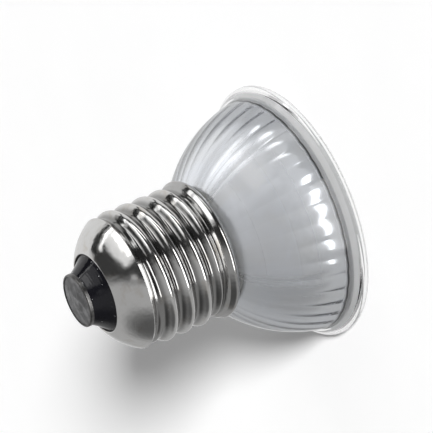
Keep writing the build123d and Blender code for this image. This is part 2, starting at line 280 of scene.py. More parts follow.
class Wiring:
    """Short ways to add nodes to a tree."""

    def __init__(self, tree):
        self.tree = tree

    def add(self, kind, *values, **settings):
        """A new node with settings on its properties and values on its first inputs."""
        node = self.tree.nodes.new(kind)
        for key, value in settings.items():
            setattr(node, key, value)
        for socket, value in zip(node.inputs, values):
            self.feed(socket, value)
        return node

    def feed(self, socket, value):
        """Links a socket to the input, or sets the input's number."""
        if isinstance(value, bpy.types.NodeSocket):
            self.tree.links.new(value, socket)
        else:
            socket.default_value = value

    def maths(self, operation, *values):
        """One Math node."""
        return self.add("ShaderNodeMath", *values, operation=operation).outputs[0]

    def times(self, first, second):
        """The product of two numbers."""
        return self.maths("MULTIPLY", first, second)

    def vector(self, operation, *values):
        """One Vector Math node; gives its vector, or its number for a dot product or length."""
        node = self.add("ShaderNodeVectorMath", *values, operation=operation)
        return node.outputs["Value" if operation in {"DOT_PRODUCT", "LENGTH"} else "Vector"]

    def either(self, fac, first, second):
        """The first shader where the number is 0 and the second where it is 1."""
        return self.add("ShaderNodeMixShader", fac, first.outputs[0], second.outputs[0]).outputs[0]

    def radius(self, place):
        """Distance of a place from the lamp's axis."""
        return self.vector("LENGTH", self.vector("MULTIPLY", place, (1, 1, 0)))

    def parts(self, place):
        """The place split into its X, Y and Z."""
        return self.add("ShaderNodeSeparateXYZ", place).outputs

    def ramp_up(self, value, low, high):
        """A smooth step from 0 at low to 1 at high."""
        settings = {"interpolation_type": "SMOOTHSTEP"}
        return self.add("ShaderNodeMapRange", value, low, high, 0.0, 1.0, **settings).outputs[0]


class Finish(Wiring):
    """A material with one Principled surface and short ways to pattern it on Object coordinates."""

    def __init__(self, name, **sockets):
        self.material = bpy.data.materials.new(name)
        self.material.use_nodes = True
        super().__init__(self.material.node_tree)
        self.surface = self.tree.nodes["Principled BSDF"]
        self.bumps = None
        for key, value in sockets.items():
            if isinstance(value, tuple) and len(value) == 3:
                value = (*value, 1.0)
            self.surface.inputs[key.replace("_", " ")].default_value = value

    def place(self, stretch=(1, 1, 1)):
        """Object coordinates, stretched."""
        coordinates = self.add("ShaderNodeTexCoord")
        mapping = self.add("ShaderNodeMapping", coordinates.outputs["Object"])
        mapping.inputs["Scale"].default_value = stretch
        return mapping.outputs["Vector"]

    def noise(self, scale, detail=3.0, stretch=(1, 1, 1), distortion=0.0):
        """A noise pattern between 0 and 1."""
        node = self.add("ShaderNodeTexNoise", self.place(stretch))
        node.inputs["Scale"].default_value = scale
        node.inputs["Detail"].default_value = detail
        node.inputs["Distortion"].default_value = distortion
        return node.outputs[0]

    def blend(self, fac, *stops):
        """A colour ramp; a stop is (place, colour)."""
        node = self.add("ShaderNodeValToRGB", fac)
        ramp = node.color_ramp
        while len(ramp.elements) < len(stops):
            ramp.elements.new(0.5)
        for element, (place, colour) in zip(ramp.elements, stops):
            element.position = place
            element.color = (*colour, 1.0)
        return node.outputs["Color"]

    def mixed(self, fac, colour, other, how="MIX"):
        """The first colour where the pattern is 0 and the second one, or their product, where it is 1."""
        node = self.add("ShaderNodeMix", data_type="RGBA", blend_type=how)
        for place, value in ((0, fac), (6, colour), (7, other)):
            self.feed(node.inputs[place], value)
        return node.outputs[2]

    def darkened(self, colour, fac, share):
        """The colour, brought down to a share of itself where the pattern is 1."""
        return self.mixed(fac, colour, (share, share, share, 1.0), "MULTIPLY")

    def range(self, fac, low, high):
        """The pattern moved into a range."""
        return self.add("ShaderNodeMapRange", fac, 0.0, 1.0, low, high).outputs[0]

    def bump(self, height, distance, strength=1.0):
        """Adds a bump layer on the surface's normal."""
        node = self.add("ShaderNodeBump")
        node.inputs["Strength"].default_value = strength
        node.inputs["Distance"].default_value = distance
        self.tree.links.new(height, node.inputs["Height"])
        if self.bumps:
            self.tree.links.new(self.bumps, node.inputs["Normal"])
        self.bumps = node.outputs["Normal"]
        self.tree.links.new(self.bumps, self.surface.inputs["Normal"])

    def wire(self, socket, value):
        """Feeds one input of the surface."""
        self.tree.links.new(value, self.surface.inputs[socket])


def rule_tree(name, *labels):
    """A geometry tree with named number inputs; gives its wiring, geometry and input sockets."""
    tree = bpy.data.node_groups.new(name, "GeometryNodeTree")
    tree.interface.new_socket("Geometry", in_out="INPUT", socket_type="NodeSocketGeometry")
    tree.interface.new_socket("Geometry", in_out="OUTPUT", socket_type="NodeSocketGeometry")
    for label in labels:
        tree.interface.new_socket(label, in_out="INPUT", socket_type="NodeSocketFloat")
    wiring = Wiring(tree)
    sockets = wiring.add("NodeGroupInput").outputs
    return wiring, sockets["Geometry"], sockets


def close_tree(wiring, geometry, material):
    """Ends a geometry tree: instances made real and the material set."""
    real = wiring.add("GeometryNodeRealizeInstances", geometry)
    dressed = wiring.add("GeometryNodeSetMaterial", real.outputs[0])
    dressed.inputs["Material"].default_value = material
    wiring.add("NodeGroupOutput", dressed.outputs[0])


def bake_rule(piece, wiring, values):
    """Runs a geometry tree on the piece with the given inputs and keeps the plain mesh."""
    modifier = piece.modifiers.new("Rule", "NODES")
    modifier.node_group = wiring.tree
    for item in wiring.tree.interface.items_tree:
        if item.name in values:
            modifier[item.identifier] = values[item.name]
    evaluated = piece.evaluated_get(bpy.context.evaluated_depsgraph_get())
    mesh = bpy.data.meshes.new_from_object(evaluated)
    piece.modifiers.remove(modifier)
    piece.data = mesh


def radial_shift(wiring, geometry, amount):
    """Moves each point away from the axis by a field."""
    flat = wiring.vector("MULTIPLY", point_place(wiring), (1, 1, 0))
    outwards = wiring.vector("NORMALIZE", flat)
    scale = wiring.add("ShaderNodeVectorMath", outwards, operation="SCALE")
    wiring.feed(scale.inputs["Scale"], amount)
    moved = wiring.add("GeometryNodeSetPosition", geometry)
    wiring.feed(moved.inputs["Offset"], scale.outputs["Vector"])
    return moved.outputs["Geometry"]


def point_place(wiring):
    """A point's place as a field."""
    return wiring.add("GeometryNodeInputPosition").outputs[0]


def point_angle(wiring, place):
    """A point's angle about the axis as a field."""
    parts = wiring.parts(place)
    return wiring.maths("ARCTAN2", parts["Y"], parts["X"])


# Materials


def clear_glass(colour):
    """Pressed glass with faint waves."""
    finish = Finish(
        "clear_pressed_glass", Base_Color=tuple(colour), Roughness=0.02, IOR=1.44, Transmission_Weight=1.0
    )
    waves = finish.noise(200, detail=2, stretch=(1, 1, 0.5))
    finish.bump(waves, distance=0.1 * MM, strength=0.2)
    return finish.material


# Heights between which the silvering changes, and the share that the neck's change has.
FILM_OFF_SEAT = (2.5 * MM, 3.2 * MM)
FILM_BY_RIM = (12.0 * MM, 5.5 * MM)
FILM_BY_NECK = (14.5 * MM, 17.5 * MM)
FILM_NECK_SHARE = 0.45
FILM_END = (2.3 * MM, 2.36 * MM)
# Heights over which a line of painted shade darkens the film's end.
FILM_SHADE_LINE = (2.95 * MM, 2.55 * MM)
# Facing of the surface between which the film turns from milky to mirror bright.
FILM_GRAZING = (0.07, 0.14)
FILM_GRAZING_SHARPNESS = 0.55
SEAT_COLOUR = (0.98, 0.985, 0.99, 1.0)


def reflecting_film(colour):
    """Metal film on the fluted glass, milky up the side and brighter by the rim, the neck and at a slant.

    It ends in a thin line of painted shade, past which the seat of the cover glass is pale with sealant.
    """
    finish = Finish("reflecting_film")
    height = finish.parts(finish.place())["Z"]
    off_seat = finish.ramp_up(height, *FILM_OFF_SEAT)
    by_rim = finish.times(finish.ramp_up(height, *FILM_BY_RIM), off_seat)
    by_neck = finish.times(finish.ramp_up(height, *FILM_BY_NECK), FILM_NECK_SHARE)
    by_edge = finish.maths("MAXIMUM", by_rim, by_neck)
    facing = finish.add("ShaderNodeLayerWeight").outputs["Facing"]
    grazing = finish.times(finish.ramp_up(facing, *FILM_GRAZING), off_seat)
    bright = finish.maths("MAXIMUM", by_edge, grazing)
    sharp = finish.maths("MAXIMUM", by_edge, finish.times(grazing, FILM_GRAZING_SHARPNESS))
    base = Vector(colour)
    warm = Vector((base.x * 0.97, base.y * 0.96, base.z * 0.94))
    cloud = finish.noise(150, detail=4, stretch=(1, 1, 0.6), distortion=0.5)
    silver = finish.blend(cloud, (0.35, warm), (0.6, base))
    on_film = finish.ramp_up(height, *FILM_END)
    # A thin line of painted shade where the film ends by the flange's corner.
    shade_line = finish.times(on_film, finish.ramp_up(height, *FILM_SHADE_LINE))
    shade_lined = finish.darkened(silver, shade_line, share=0.12)
    finish.wire("Base Color", finish.mixed(on_film, SEAT_COLOUR, shade_lined))
    finish.wire("Metallic", finish.range(bright, 0.1, 0.9))
    finish.wire("Roughness", finish.range(sharp, 0.3, 0.1))
    finish.bump(finish.noise(500, detail=2), distance=0.04 * MM, strength=0.15)
    return finish.material


# Where painted shade darkens the nickel, in grooves that are also grimy: radii in the grooves, heights
# under the shoulder and on the collar.
GROOVE_RADII = (13.05 * MM, 12.15 * MM)
GROOVE_TOP = (38.4 * MM, 37.2 * MM)
COLLAR_TOP = (23.6 * MM, 22.6 * MM)
# How strongly painted shade darkens the collar.
COLLAR_SHADE = 0.6


def bright_nickel(colour):
    """Nickel plate on rolled sheet: stains, painted shade in the grooves, which are also grimy, painted
    shade on the collar, fine turning lines and soft dents.
    """
    finish = Finish("bright_nickel", Metallic=1.0, Roughness=0.1)
    base = Vector(colour)
    brown = Vector((base.x * 0.88, base.y * 0.85, base.z * 0.81))
    stain = finish.noise(330, detail=5, stretch=(1, 1, 1.4), distortion=0.6)
    plate = finish.blend(stain, (0.28, brown), (0.46, base * 0.97), (0.7, base))
    place = finish.place()
    height = finish.parts(place)["Z"]
    in_groove = finish.ramp_up(finish.radius(place), *GROOVE_RADII)
    groove = finish.times(in_groove, finish.ramp_up(height, *GROOVE_TOP))
    collar = finish.times(finish.ramp_up(height, *COLLAR_TOP), COLLAR_SHADE)
    # Painted shade: the grooves darken where the ridges shade each other, and are also grimy; the collar
    # darkens where it reflects dark.
    shade_and_grime = finish.maths("MAXIMUM", groove, collar)
    finish.wire("Base Color", finish.darkened(plate, shade_and_grime, share=0.45))
    finish.wire("Roughness", finish.range(finish.noise(1200, detail=4), 0.05, 0.2))
    finish.bump(finish.noise(420, detail=2), distance=0.16 * MM, strength=0.4)
    finish.bump(finish.noise(1500, stretch=(1, 1, 0.5)), distance=0.03 * MM, strength=0.25)
    finish.bump(finish.noise(160, stretch=(1, 1, 60)), distance=0.01 * MM, strength=0.4)
    return finish.material


def black_glass(colour):
    """Fused black glass with a glossy, slightly wavy skin and a few pale dusty specks, which are also
    painted glints.
    """
    coat = {"Coat_Weight": 0.15, "Coat_Roughness": 0.02}
    finish = Finish("black_glass", Base_Color=tuple(colour), Roughness=0.08, IOR=1.36, **coat)
    dust_and_glint = Vector((0.3, 0.3, 0.31))
    # Pale specks in the colour: dusty flecks that are also painted glints.
    specks = finish.noise(1700, detail=1)
    finish.wire("Base Color", finish.blend(specks, (0.745, Vector(colour)), (0.76, dust_and_glint)))
    finish.wire("Roughness", finish.range(finish.noise(700), 0.04, 0.13))
    finish.bump(finish.noise(520, detail=2), distance=0.2 * MM, strength=0.4)
    return finish.material


def dull_solder(colour):
    """Tin solder, matt and blotched with oxide."""
    finish = Finish("dull_solder", Metallic=0.85, Roughness=0.5)
    base = Vector(colour)
    pattern = finish.noise(620, detail=7, distortion=0.4)
    blotches = finish.blend(pattern, (0.34, base * 0.55), (0.5, base * 0.85), (0.68, base * 1.5))
    finish.wire("Base Color", blotches)
    finish.wire("Roughness", finish.range(finish.noise(1500, detail=4), 0.36, 0.62))
    finish.bump(finish.noise(1100, detail=5), distance=0.12 * MM, strength=0.6)
    return finish.material


def contact_metal(colour):
    """Stamped contact with dark tarnish."""
    finish = Finish("contact_metal", Metallic=1.0, Roughness=0.3)
    tarnish = Vector((0.1, 0.1, 0.1))
    patches = finish.noise(900, detail=4)
    finish.wire("Base Color", finish.blend(patches, (0.3, tarnish), (0.7, Vector(colour))))
    finish.bump(finish.noise(1300, detail=4), distance=0.06 * MM, strength=0.5)
    return finish.material


def grainy(name, colour, darkest, grain, roughness, depth=0.1 * MM, **sockets):
    """A plain surface whose colour and height vary with one grain, down to a share of its colour."""
    finish = Finish(name, Roughness=roughness, **sockets)
    pale = Vector(colour)
    pattern = finish.noise(grain, detail=5)
    finish.wire("Base Color", finish.blend(pattern, (0.3, pale * darkest), (0.7, pale)))
    rough = finish.range(finish.noise(grain * 2), roughness * 0.85, min(1.0, roughness * 1.15))
    finish.wire("Roughness", rough)
    finish.bump(pattern, distance=depth, strength=0.6)
    return finish.material


def quartz():
    """Clear quartz with faint draw lines."""
    clear = (0.98, 0.98, 0.98)
    finish = Finish("quartz", Base_Color=clear, Roughness=0.01, IOR=1.46, Transmission_Weight=1.0)
    draw_lines = finish.noise(400, detail=2, stretch=(1, 1, 0.2))
    finish.bump(draw_lines, distance=0.1 * MM, strength=0.3)
    return finish.material


def glass_fibre(colour):
    """Woven glass-fibre sleeve."""
    finish = Finish("glass_fibre", Roughness=0.75, Sheen_Weight=0.3)
    weave = finish.add("ShaderNodeTexWave", finish.place(), bands_direction="DIAGONAL")
    weave.inputs["Scale"].default_value = 900
    pale = Vector(colour)
    finish.wire("Base Color", finish.blend(weave.outputs[0], (0.2, pale * 0.74), (0.8, pale)))
    finish.bump(weave.outputs[0], distance=0.1 * MM, strength=0.8)
    return finish.material


# Bowl


# Heights of the rim's band and of the flange's back, and how far the flange stands out behind the rim.
RIM_BAND = 1.3 * MM
FLANGE_BACK = 2.75 * MM
FLANGE_STEP = 0.4 * MM

# Points on the bowl's arc, rows up its fluted inside and points round each flute.
ARC_POINTS = 72
FLUTE_ROWS = 80
FLUTE_POINTS = 12

# The flutes start over the first rows at the neck and reach full depth in the last part by the rim.
FLUTE_START_ROWS = 6
FLUTE_END_SLOPE = 2.6

# Rows past the flutes that the film covers in the neck, and rows of the seat that it leaves clear.
FILM_NECK_ROWS = 8
FILM_CLEAR_ROWS = 3


def bowl_outlines(bowl, low, neck_top, seat_depth):
    """The bowl's outer run, the neck's rows, the fluted run and the seat, from the rim's face."""
    rim_radius = bowl.front_radius + bowl.rim_overhang
    seat_radius = rim_radius - bowl.rim_face + SEAT_ROOM
    flange_back = low + FLANGE_BACK
    start = (bowl.front_radius, flange_back)
    end = (bowl.neck_radius, bowl.neck_start)
    outer_arc = arc_between(start, end, bowl.bulge, ARC_POINTS)
    chord = Vector(end) - Vector(start)
    radius = chord.length**2 / (8 * bowl.bulge) + bowl.bulge / 2
    across = Vector((chord.y, -chord.x)).normalized()
    centre = (Vector(start) + Vector(end)) / 2 - across * (radius - bowl.bulge)
    inner_radius = radius - bowl.wall
    bore = bowl.neck_radius - bowl.neck_wall
    inner_start = low + seat_depth + SEAT_ROOM
    inner_end = centre.y + sqrt(inner_radius**2 - (bore - centre.x) ** 2)
    fluted = []
    for number in range(FLUTE_ROWS + 1):
        height = inner_end + (inner_start - inner_end) * (1 - cos(pi / 2 * number / FLUTE_ROWS))
        fluted.append((centre.x + sqrt(inner_radius**2 - (height - centre.y) ** 2), height))
    outside = rounded([
        (seat_radius, low, 0),
        (rim_radius, low, 0.45 * MM),
        (rim_radius, low + RIM_BAND, 0.5 * MM),
        (bowl.front_radius + FLANGE_STEP, flange_back, 0.25 * MM),
        (start[0], start[1] + 0.05 * MM, 0),
    ])
    top = rounded([
        (bowl.neck_radius, bowl.neck_start + 0.3 * MM, 0),
        (bowl.neck_radius, neck_top, 0.4 * MM),
        (bore, neck_top, 0.4 * MM),
        (bore, inner_end + 0.3 * MM, 0),
    ])
    seat = rounded([
        (fluted[-1][0] + 0.1 * MM, inner_start, 0),
        (seat_radius, inner_start, 0.15 * MM),
        (seat_radius, low + 0.1 * MM, 0),
    ])
    return spaced(outside, 0.4 * MM) + outer_arc[1:], spaced(top, 0.8 * MM), fluted, spaced(seat, 0.4 * MM)


def flute_tree(material):
    """Rule that draws the inner face in to a sharp ridge between flutes."""
    wiring, geometry, inputs = rule_tree("Flutes", "Count", "Depth", "Front radius")
    place = point_place(wiring)
    share = wiring.add("GeometryNodeInputNamedAttribute", data_type="FLOAT")
    share.inputs["Name"].default_value = "fluted"
    angle = point_angle(wiring, place)
    turns = wiring.maths("DIVIDE", wiring.times(angle, inputs["Count"]), tau)
    offset = wiring.maths("SUBTRACT", turns, wiring.maths("ROUND", turns))
    side = wiring.times(offset, 2.0)
    size = wiring.maths("DIVIDE", wiring.radius(place), inputs["Front radius"])
    scaled = wiring.times(inputs["Depth"], size)
    depth = wiring.times(scaled, wiring.times(side, side))
    amount = wiring.times(wiring.times(depth, -1.0), share.outputs[0])
    close_tree(wiring, radial_shift(wiring, geometry, amount), material)
    return wiring


def flute_depth_share(bowl, row):
    """Share of the full depth that the flutes have in a row, counted from the neck."""
    by_rim = row / (FLUTE_ROWS + 1) * FLUTE_END_SLOPE - (FLUTE_END_SLOPE - 1)
    by_rim = min(1.0, max(0.0, by_rim))
    return min(1.0, row / FLUTE_START_ROWS) * (bowl.flute_share + (1 - bowl.flute_share) * by_rim)


class HEATLAMP_OT_bowl(bpy.types.Operator):
    """Make the pressed glass bowl with its fluted, silvered inside"""

    bl_idname = "heatlamp.bowl"
    bl_label = "Glass bowl"

    def execute(self, context):
        bowl = context.scene.heat_lamp_bowl
        low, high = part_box("reflector")
        seat_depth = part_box("front_lens")[1].z - low.z
        outside, top, fluted, seat = bowl_outlines(bowl, low.z, high.z, seat_depth)
        segments = bowl.flute_count * FLUTE_POINTS
        piece = turned("pressed_glass_bowl", outside + top + fluted + seat, segments, closed=True)
        first = len(outside) + len(top)
        last = first + len(fluted)
        shares = piece.data.attributes.new("fluted", "FLOAT", "POINT")
        for row in range(first, last):
            share = flute_depth_share(bowl, row - first)
            for number in range(segments):
                shares.data[row * segments + number].value = share
        bake_rule(piece, flute_tree(clear_glass(bowl.glass_tint)), {
            "Count": float(bowl.flute_count),
            "Depth": bowl.flute_depth,
            "Front radius": bowl.front_radius,
        })
        piece.data.materials.append(reflecting_film(bowl.film_tint))
        for face in piece.data.polygons:
            row = min(face.vertices) // segments
            if first - FILM_NECK_ROWS <= row < last + len(seat) - FILM_CLEAR_ROWS:
                face.material_index = 1
        smooth_out(piece)
        hand_over(piece, "reflector")
        return {"FINISHED"}


# Screw cap


# Points round the cap, and the turn in radians past which its edges stay sharp.
CAP_POINTS = 208
CAP_SHARP_ANGLE = 1.2

# The shoulder is an arc from past the thread to the opening's lip, and so is its under side.
SHOULDER_STEP = 0.38 * MM
SHOULDER_GAP = 1.05 * MM
SHOULDER_BULGE = 0.5 * MM
UNDER_BULGE = 0.45 * MM
LIP_LENGTH = 0.45 * MM


def cap_outline(cap, low, high):
    """The closed section of the rolled sheet, without its thread, from the mouth to the opening."""
    crest = cap.crest_radius
    root = crest - cap.thread_depth
    opening = cap.opening_radius
    thread_low = low + cap.collar_height
    thread_high = thread_low + cap.thread_length
    outer = [
        (crest + 0.05 * MM, low, 0),
        (crest + 0.62 * MM, low + 0.75 * MM, 0.75 * MM),
        (crest - 0.1 * MM, low + 1.85 * MM, 0.3 * MM),
        (root, thread_low, 0.5 * MM),
        (root, thread_high, 0.6 * MM),
        (crest - SHOULDER_STEP, thread_high + SHOULDER_GAP, 0),
    ]
    inner = [(radius - cap.wall, height, corner) for radius, height, corner in reversed(outer[1:])]
    inner.append((crest - 0.3 * MM, low, 0))
    shoulder_end = (opening + 0.3 * MM, high - 0.06 * MM)
    shoulder = arc_between(outer[-1][:2], shoulder_end, SHOULDER_BULGE, 36)
    lip = rounded([
        (*shoulder_end, 0),
        (opening, high + 0.01 * MM, 0.12 * MM),
        (opening, high - LIP_LENGTH, 0),
    ])
    inner_end = (opening + 0.1 * MM, high - LIP_LENGTH)
    under_shoulder = arc_between(inner_end, inner[0][:2], -UNDER_BULGE, 24)
    outside = spaced(rounded(outer)[:-1] + shoulder + lip[1:], 0.1 * MM)
    return outside, spaced(under_shoulder + rounded(inner)[1:], 0.22 * MM)


def fade(wiring, height, low, high, run):
    """1 between two heights and 0 past them, with a smooth run inside each end."""
    at_low = wiring.ramp_up(height, low, wiring.maths("ADD", low, run))
    at_high = wiring.ramp_up(height, high, wiring.maths("SUBTRACT", high, run))
    return wiring.times(at_low, at_high)


def thread_tree(material):
    """Rule that swells the wall along a right-hand helix and fades at both ends."""
    labels = ("Pitch", "Depth", "Low", "High", "Run-out", "Start height", "Start angle", "Fullness")
    wiring, geometry, inputs = rule_tree("Rolled thread", *labels)
    place = point_place(wiring)
    height = wiring.parts(place)["Z"]
    rise = wiring.maths("DIVIDE", wiring.maths("SUBTRACT", height, inputs["Start height"]), inputs["Pitch"])
    turn = wiring.maths("SUBTRACT", point_angle(wiring, place), inputs["Start angle"])
    wave = wiring.maths("COSINE", wiring.maths("SUBTRACT", wiring.times(rise, tau), turn))
    rest = wiring.maths("SUBTRACT", 1.0, wiring.times(wave, wave))
    full = wiring.times(wave, wiring.maths("MULTIPLY_ADD", rest, inputs["Fullness"], 1.0))
    ridge = wiring.times(wiring.maths("ADD", full, 1.0), 0.5)
    ends = fade(wiring, height, inputs["Low"], inputs["High"], inputs["Run-out"])
    amount = wiring.times(wiring.times(ridge, inputs["Depth"]), ends)
    close_tree(wiring, radial_shift(wiring, geometry, amount), material)
    return wiring


class HEATLAMP_OT_cap(bpy.types.Operator):
    """Make the nickel screw cap with its rolled thread"""

    bl_idname = "heatlamp.cap"
    bl_label = "Screw cap"

    def execute(self, context):
        cap = context.scene.heat_lamp_cap
        low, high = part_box("screw_shell")
        outer, inner = cap_outline(cap, low.z, high.z)
        piece = turned("rolled_screw_cap", outer + inner, CAP_POINTS, closed=True)
        thread_low = low.z + cap.collar_height
        bake_rule(piece, thread_tree(bright_nickel(cap.plating)), {
            "Pitch": cap.pitch,
            "Depth": cap.thread_depth,
            "Low": thread_low,
            "High": thread_low + cap.thread_length,
            "Run-out": cap.run_out,
            "Start height": thread_low - cap.pitch,
            "Start angle": cap.start_angle,
            "Fullness": cap.crest_fullness,
        })
        smooth_out(piece, CAP_SHARP_ANGLE)
        hand_over(piece, "screw_shell")
        return {"FINISHED"}


# Insulator and contact


# Points round the insulator.
PLUG_POINTS = 144


def insulator_outline(base, low, high):
    """The closed section of the glass plug: foot in the cap, hollow cone, top and stepped bore."""
    cone_foot = high - base.rise
    side = arc_between((base.foot_radius, cone_foot), (base.top_radius, high), -base.waist, 48)
    foot = rounded([
        (base.wire_bore, low, 0),
        (base.plug_radius, low, 0.5 * MM),
        (base.plug_radius, low + 0.7 * MM, 0.3 * MM),
        (base.foot_radius, cone_foot - 0.7 * MM, 0.2 * MM),
        (base.foot_radius, cone_foot, 0),
    ])
    eyelet_foot = high - base.eyelet_depth
    top = [(base.eyelet_bore, high), (base.eyelet_bore, eyelet_foot), (base.wire_bore, eyelet_foot)]
    return spaced(foot, 0.4 * MM)[:-1] + side + spaced([side[-1]] + top, 0.5 * MM)[1:]


def ring_tree(material):
    """Rule that presses fine rings into the cone, left by its mould."""
    wiring, geometry, inputs = rule_tree("Mould rings", "Pitch", "Height", "Foot", "Top")
    height = wiring.parts(point_place(wiring))["Z"]
    rise = wiring.maths("DIVIDE", wiring.maths("SUBTRACT", height, inputs["Foot"]), inputs["Pitch"])
    wave = wiring.maths("COSINE", wiring.times(rise, tau))
    inwards = wiring.times(wiring.maths("SUBTRACT", wave, 1.0), inputs["Height"])
    ends = fade(wiring, height, inputs["Foot"], inputs["Top"], inputs["Pitch"])
    amount = wiring.times(inwards, ends)
    close_tree(wiring, radial_shift(wiring, geometry, amount), material)
    return wiring


class HEATLAMP_OT_insulator(bpy.types.Operator):
    """Make the black glass insulator"""

    bl_idname = "heatlamp.insulator"
    bl_label = "Insulator"

    def execute(self, context):
        base = context.scene.heat_lamp_base
        low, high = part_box("insulator")
        outline = insulator_outline(base, low.z, high.z)
        piece = turned("black_glass_plug", outline, PLUG_POINTS, closed=True)
        bake_rule(piece, ring_tree(black_glass(base.glass_colour)), {
            "Pitch": base.ring_pitch,
            "Height": base.ripple,
            "Foot": high.z - base.rise,
            "Top": high.z,
        })
        smooth_out(piece)
        hand_over(piece, "insulator")
        return {"FINISHED"}


class HEATLAMP_OT_contact(bpy.types.Operator):
    """Dress the centre contact and its solder"""

    bl_idname = "heatlamp.contact"
    bl_label = "Centre contact"

    def execute(self, context):
        base = context.scene.heat_lamp_base
        dress(contact_metal(base.contact_colour), "contact_plate")
        dress(dull_solder(base.solder_colour), "contact_solder")
        return {"FINISHED"}


def dress(material, *names):
    """Gives CAD nodes their material."""
    for name in names:
        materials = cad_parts[name].data.materials
        materials.clear()
        materials.append(material)


# Points round the bead of sealant, and how far its face sinks.
BEAD_POINTS = 432
BEAD_SINK = 0.06 * MM


def bead_outline():
    """The closed section of the sealant, whose face is hollow between the cover glass and the rim."""
    low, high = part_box("lens_seal")
    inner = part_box("front_lens")[1].x + SEAT_ROOM
    face = arc_between((inner, low.z), (high.x, low.z), -BEAD_SINK, 10)
    back = [(high.x, low.z), (high.x, high.z), (inner, high.z), (inner, low.z)]
    return face + spaced(back, 0.5 * MM)[1:-1]


class HEATLAMP_OT_inside(bpy.types.Operator):
    """Dress the cover glass, the capsule, the wires and the cement"""

    bl_idname = "heatlamp.inside"
    bl_label = "Cover glass and inside"

    def execute(self, context):
        bowl = context.scene.heat_lamp_bowl
        inside = context.scene.heat_lamp_inside
        dress(clear_glass(bowl.glass_tint), "front_lens")
        bead = turned("sealant_bead", bead_outline(), BEAD_POINTS, closed=True)
        bead.data.materials.append(grainy("sealant", inside.sealant_tint, 0.9, 700, 0.4))
        smooth_out(bead)
        hand_over(bead, "lens_seal")
        cement = grainy("cement", inside.cement_tint, 0.7, 900, 0.85)
        coil = grainy("tungsten", inside.coil_tint, 0.6, 2500, 0.4, 0.01 * MM, Metallic=1.0)
        wire = grainy("drawn_wire", inside.wire_tint, 0.67, 1500, 0.3, 0.01 * MM, Metallic=1.0)
        foil = grainy("sealing_foil", inside.foil_tint, 0.73, 1200, 0.35, 0.02 * MM, Metallic=1.0)
        dress(cement, "basing_cement", "capsule_cement")
        dress(quartz(), "quartz_capsule")
        dress(coil, "filament")
        dress(wire, "inner_lead_left", "inner_lead_right", "centre_lead", "side_lead")
        dress(foil, "foil_left", "foil_right")
        dress(glass_fibre(inside.sleeve_tint), "insulating_sleeve")
        return {"FINISHED"}


# Stage

# Camera of the picture: its place, its way of looking and its upright, in the lamp's frame.
CAMERA_PLACE = Vector((-24.2205, -363.0705, 180.5185)) * MM
CAMERA_FORWARD = Vector((0.07142, 0.90744, -0.41406)).normalized()
CAMERA_UP = Vector((0.90658, -0.23217, -0.35244)).normalized()
CAMERA_RIGHT = CAMERA_FORWARD.cross(CAMERA_UP).normalized()

# Soft boxes of the studio: azimuth and height in degrees as the picture shows them (azimuth 0 is
# towards the viewer, 90 is right), half width, half height, turn in degrees, edge and strength.
# A negative strength is a dark panel.
SOFT_BOXES = (
    (-55, 32, 0.62, 0.30, -32, 0.10, 0.8),
    (-50, 36, 0.40, 0.11, -32, 0.05, 1.6),
    (-15, 70, 0.40, 0.12, 0, 0.05, 2.0),
    (30, 18, 0.30, 0.15, 0, 0.08, 0.5),
    (35, -5, 0.22, 0.62, 25, 0.03, 3.4),
    (-89, 36, 0.05, 0.35, 0, 0.03, 1.6),
    (-101, 35, 0.11, 0.46, 0, 0.04, -0.75),
    (-130, 57, 0.36, 0.05, 0, 0.03, -0.75),
    (-25, -11, 0.10, 0.07, 0, 0.05, 0.35),
)

# Strength of the studio behind the lamp, in front of it, at the level of the floor and right under it.
STUDIO_BACK = 0.75
STUDIO_FRONT = 0.045
STUDIO_BELOW = 0.42
STUDIO_UNDER = 0.1
STUDIO_LEAST = 0.02

# Where one strength gives way to the next, as shares of the way forward or upward in the picture.
BACK_STARTS = (0.06, 0.36)
BELOW_STARTS = (-0.12, -0.45)
UNDER_STARTS = (-0.74, -1.0)

# Light that glass passes on from the studio, and what it adds by scattering, above and below.
GLASS_KEEPS = 0.45
GLASS_LIFT = 0.6
GLASS_LIFT_BELOW = 0.26
GLASS_LOWERS = (0.1, -0.7)

# Share of the studio's light on matt surfaces, and how a matt surface behind glass darkens from below.
MATT_SHARE = 0.45
MATT_SHADE = 0.85
MATT_LOWERS = (-0.15, -0.6)

# Key light: a distant soft lamp, by where it comes from, its strength and how wide it looks in radians.
KEY_FROM = Vector((0.11, -0.994, 0.33)).normalized()
KEY_STRENGTH = 3.2
KEY_WIDTH = 0.2

# What the floor adds for the camera alone, so that it is as white as the backdrop.
FLOOR_GLOW = 0.12


def studio_direction(azimuth, height):
    """A direction in the lamp's frame from its azimuth and height in the picture."""
    turn = radians(azimuth)
    rise = radians(height)
    level = CAMERA_RIGHT * sin(turn) - CAMERA_FORWARD * cos(turn)
    return (level * cos(rise) + CAMERA_UP * sin(rise)).normalized()


def soft_box(wiring, direction, azimuth, height, half_width, half_height, turn, edge, strength):
    """Light of one soft box on the world, as a number for the world's strength."""
    centre = studio_direction(azimuth, height)
    spin = Matrix.Rotation(radians(turn), 3, centre)
    across = spin @ centre.cross(CAMERA_UP).normalized()
    upright = across.cross(centre).normalized()
    facing = wiring.vector("DOT_PRODUCT", direction, tuple(centre))
    ahead = wiring.maths("MAXIMUM", facing, 0.0001)
    light = wiring.maths("GREATER_THAN", facing, 0.0)
    for axis, half in ((across, half_width), (upright, half_height)):
        offset = wiring.maths("DIVIDE", wiring.vector("DOT_PRODUCT", direction, tuple(axis)), ahead)
        inside = wiring.ramp_up(wiring.maths("ABSOLUTE", offset), half + edge, half - edge)
        light = wiring.times(light, inside)
    return wiring.times(light, strength)


